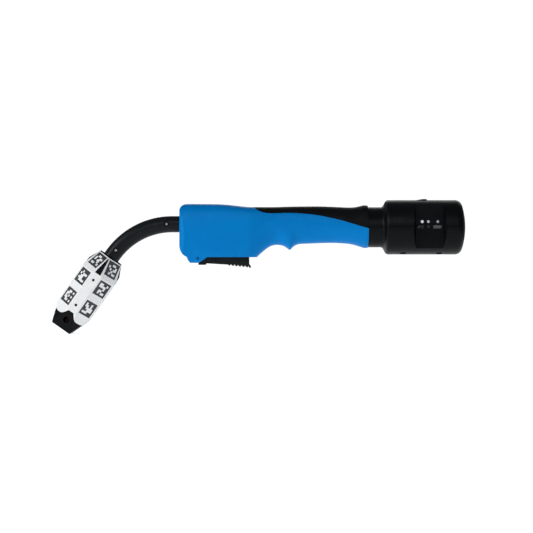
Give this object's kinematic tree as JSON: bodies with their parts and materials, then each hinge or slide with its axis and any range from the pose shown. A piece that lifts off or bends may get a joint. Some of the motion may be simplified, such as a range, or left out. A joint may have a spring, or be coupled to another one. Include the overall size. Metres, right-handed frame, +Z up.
{
  "type": "mig welding torch",
  "caption": "Cordless MIG torch for practice: bent neck with marker head and nozzle, finger-grooved handle, ribbed trigger lever and round rear electronics housing.",
  "frame": {"origin": "centre of the nozzle's mouth, the tool centre point", "axes": "+X towards the rear of the handle, +Z up, left side of the torch at -Y"},
  "size_m": [0.4275, 0.0566, 0.1396],
  "materials": {
    "blue_shell": "fine moulded grain",
    "soft_grip": "matt soft-touch",
    "black_shell": "fine moulded grain",
    "neck_black": "satin moulded",
    "label_white": "satin film with printed block markers",
    "steel": "plain",
    "screw_black": "black oxide",
    "spring_steel": "drawn wire",
    "brass": "turned",
    "copper": "turned copper",
    "aluminium": "machined",
    "seal_rubber": "plain",
    "switch_black": "plain",
    "plunger_red": "plain",
    "board_green": "solder mask",
    "battery_foil": "soft foil",
    "foam": "foam",
    "cable_sheath": "plain",
    "lamp_clear": "clear lens",
    "chip_white": "plain",
    "can_steel": "pressed",
    "connector_white": "plain"
  },
  "bodies": {
    "torch": {"handle_left": "blue_shell", "handle_right": "blue_shell", "grip_saddle": "soft_grip", "handle_screws": "screw_black", "neck_shell_left": "neck_black", "neck_shell_right": "neck_black", "neck_spine": "steel", "neck_screws": "steel", "neck_clamp_ring": "aluminium", "neck_clamp_screw": "steel", "neck_seal": "seal_rubber", "head_shell_left": "black_shell", "head_shell_right": "black_shell", "head_screws": "screw_black", "marker_label_left": "label_white", "marker_label_right": "label_white", "nozzle_ring": "brass", "tip_holder": "brass", "contact_tip": "copper", "trigger_pin": "steel", "trigger_spring": "spring_steel", "microswitch_body": "switch_black", "microswitch_terminals": "brass", "microswitch_screws": "steel", "switch_leads": "cable_sheath", "rear_shell_upper": "black_shell", "rear_shell_lower": "black_shell", "rear_shell_screws": "screw_black", "control_board": "board_green", "board_screws": "steel", "charging_socket": "can_steel", "power_switch_body": "can_steel", "pair_switch_body": "can_steel", "status_light_front": "lamp_clear", "status_light_middle": "lamp_clear", "status_light_rear": "lamp_clear", "light_board": "board_green", "light_chips": "chip_white", "battery_pack": "battery_foil", "battery_pad": "foam", "battery_cradle": "black_shell", "battery_connector": "connector_white", "radio_module": "can_steel"},
    "trigger": {"trigger": "black_shell"},
    "plunger": {"microswitch_plunger": "plunger_red"},
    "slide": {"power_slide": "switch_black"},
    "button": {"pair_button": "switch_black"}
  },
  "joints": [
    {"name": "trigger_pivot", "type": "hinge", "parent": "torch", "child": "trigger", "pos_m": [0.14197, 0, 0.07209], "axis": [0, -1, 0], "range_deg": [0, 5], "stiffness_Nm_per_rad": 2.5, "springref_deg": -4.01, "deforming": ["trigger_spring"]},
    {"name": "plunger_travel", "type": "slide", "parent": "torch", "child": "plunger", "axis": [0, 0, 1], "range_m": [0, 0.00131]},
    {"name": "power_slide_travel", "type": "slide", "parent": "torch", "child": "slide", "axis": [1, 0, 0], "range_m": [-0.001, 0.001]},
    {"name": "pair_button_press", "type": "slide", "parent": "torch", "child": "button", "axis": [0, 1, 0], "range_m": [0, 0.0005], "stiffness_N_per_m": 1500, "springref_m": -0.0005}
  ],
  "couplings": [
    {"joint": "plunger_travel", "follows": "trigger_pivot", "m_per_rad": 0.0149}
  ]
}
